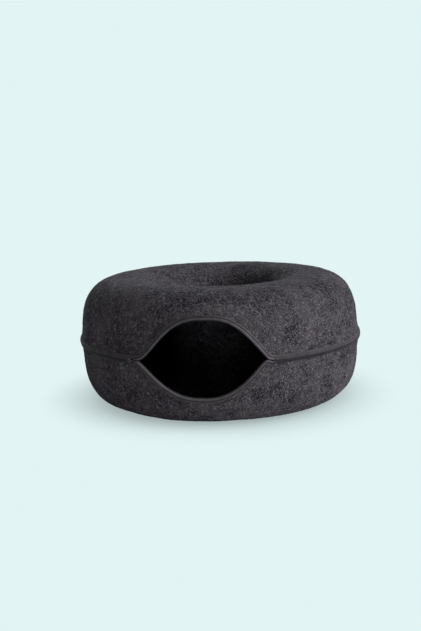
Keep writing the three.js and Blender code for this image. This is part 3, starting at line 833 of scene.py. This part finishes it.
# ----------------------------------------------------------------------------------------------------------
# The stage: a pale floor, a large soft lamp to the right, a weaker one behind, and a dim pale room. Floor and
# room look the same far off, so that there is no horizon.
# ----------------------------------------------------------------------------------------------------------
# Each lamp stands so many degrees to the right of the front and so many up, and its spread is how broad it
# looks from the ring.
LAMPS = {
    "key": {"right": 75, "up": 26, "strength": 4.85, "spread": 60},
    "back": {"right": 195, "up": 24, "strength": 1.2, "spread": 60},
}
LAMP_AWAY = 3  # metres
ROOM = 0.1  # how brightly the room shines, where 1 is white
# How brightly they all light a floor in the open.
from_lamps = sum(lamp["strength"] * math.sin(math.radians(lamp["up"])) for lamp in LAMPS.values())
IN_THE_OPEN = ROOM + from_lamps / math.pi
PAPER, BOUNCED = srgb("#e2f4f4"), srgb("#fdfafc")  # the stage as it is seen, and as it lights the felt
FLOOR_HALF = 30  # metres


def seen_rays(tree):
    """1 where the stage is seen, straight on or in or through something, and 0 where it only lights."""
    path = add_node(tree, "LightPath").outputs
    seen = path["Is Camera Ray"]
    for kind in ("Is Glossy Ray", "Is Transmission Ray"):
        seen = add_node(tree, "Math", {0: seen, 1: path[kind]}, operation="MAXIMUM").outputs[0]
    return seen


corners = np.array([(-1, -1, 0), (1, -1, 0), (1, 1, 0), (-1, 1, 0)])
floor = piece_of("floor", corners * FLOOR_HALF, [[0, 1, 2, 3]])

# Matt emulsion paint, rolled on smooth. The floor shines in its own colour, like the room. By the ring, part
# of that comes from the lamps instead, so that some of their shadow shows.
SHADOW = 0.8  # the share of its own colour that the floor shows in the lamps' shadow
CLOSE_BY = {"within": 150 * mm, "darker": 0.44}  # the soft shadow all round the ring's foot
FADE_OUT = {"from": 280 * mm, "to": 400 * mm}  # distances from the middle, between which both fade
floor_material, tree, shader = new_material("painted_floor")
seen = seen_rays(tree)
away = add_node(tree, "VectorMath", {0: add_node(tree, "TexCoord").outputs["Object"]}, operation="LENGTH")
far = add_node(tree, "MapRange", {
    "Value": away.outputs["Value"], "From Min": FADE_OUT["from"], "From Max": FADE_OUT["to"],
})
open_sky = add_node(tree, "AmbientOcclusion", {"Distance": CLOSE_BY["within"]}, samples=16).outputs["AO"]
close = add_node(tree, "MapRange", {"Value": open_sky, "To Min": 1 - CLOSE_BY["darker"], "To Max": 1.0})
close = add_node(tree, "MapRange", {"Value": far.outputs[0], "To Min": close.outputs[0], "To Max": 1.0})
glow = add_node(tree, "MapRange", {"Value": far.outputs[0], "To Min": SHADOW, "To Max": 1.0})
glow = add_node(tree, "Math", {0: glow.outputs[0], 1: close.outputs[0]}, operation="MULTIPLY")
glow = add_node(tree, "Math", {0: glow.outputs[0], 1: seen}, operation="MULTIPLY")
lit = add_node(tree, "MapRange", {
    "Value": far.outputs[0], "To Min": (1 - SHADOW) / IN_THE_OPEN, "To Max": 0.0,
})
lit = add_node(tree, "Math", {0: lit.outputs[0], 1: close.outputs[0]}, operation="MULTIPLY")
paint = add_node(tree, "Mix", {0: lit.outputs[0], 6: (0, 0, 0, 1), 7: PAPER}, data_type="RGBA")
paint = add_node(tree, "Mix", {0: seen, 6: BOUNCED, 7: paint.outputs[2]}, data_type="RGBA")
tree.links.new(paint.outputs[2], shader.inputs["Base Color"])
tree.links.new(glow.outputs[0], shader.inputs["Emission Strength"])
shader.inputs["Emission Color"].default_value = PAPER
shader.inputs["Roughness"].default_value = 0.9
shader.inputs["Specular IOR Level"].default_value = 0.0
floor.data.materials.append(floor_material)

for name, lamp in LAMPS.items():
    light = bpy.data.lights.new(name, "SUN")
    light.energy = lamp["strength"]
    light.angle = math.radians(lamp["spread"])
    stand = bpy.data.objects.new(name, light)
    right, up = math.radians(lamp["right"]), math.radians(lamp["up"])
    source = Vector((math.sin(right) * math.cos(up), -math.cos(right) * math.cos(up), math.sin(up)))
    stand.rotation_euler = source.to_track_quat("Z", "Y").to_euler()
    stand.location = LAMP_AWAY * source
    scene.collection.objects.link(stand)

world = bpy.data.worlds.new("studio")
scene.world = world
world.use_nodes = True
tree = world.node_tree
tree.nodes.clear()
seen = seen_rays(tree)
room = add_node(tree, "Background", {"Color": BOUNCED, "Strength": ROOM})
paper = add_node(tree, "Background", {"Color": PAPER, "Strength": 1.0})
both = add_node(tree, "MixShader", {0: seen, 1: room.outputs[0], 2: paper.outputs[0]})
add_node(tree, "OutputWorld", {"Surface": both.outputs[0]})
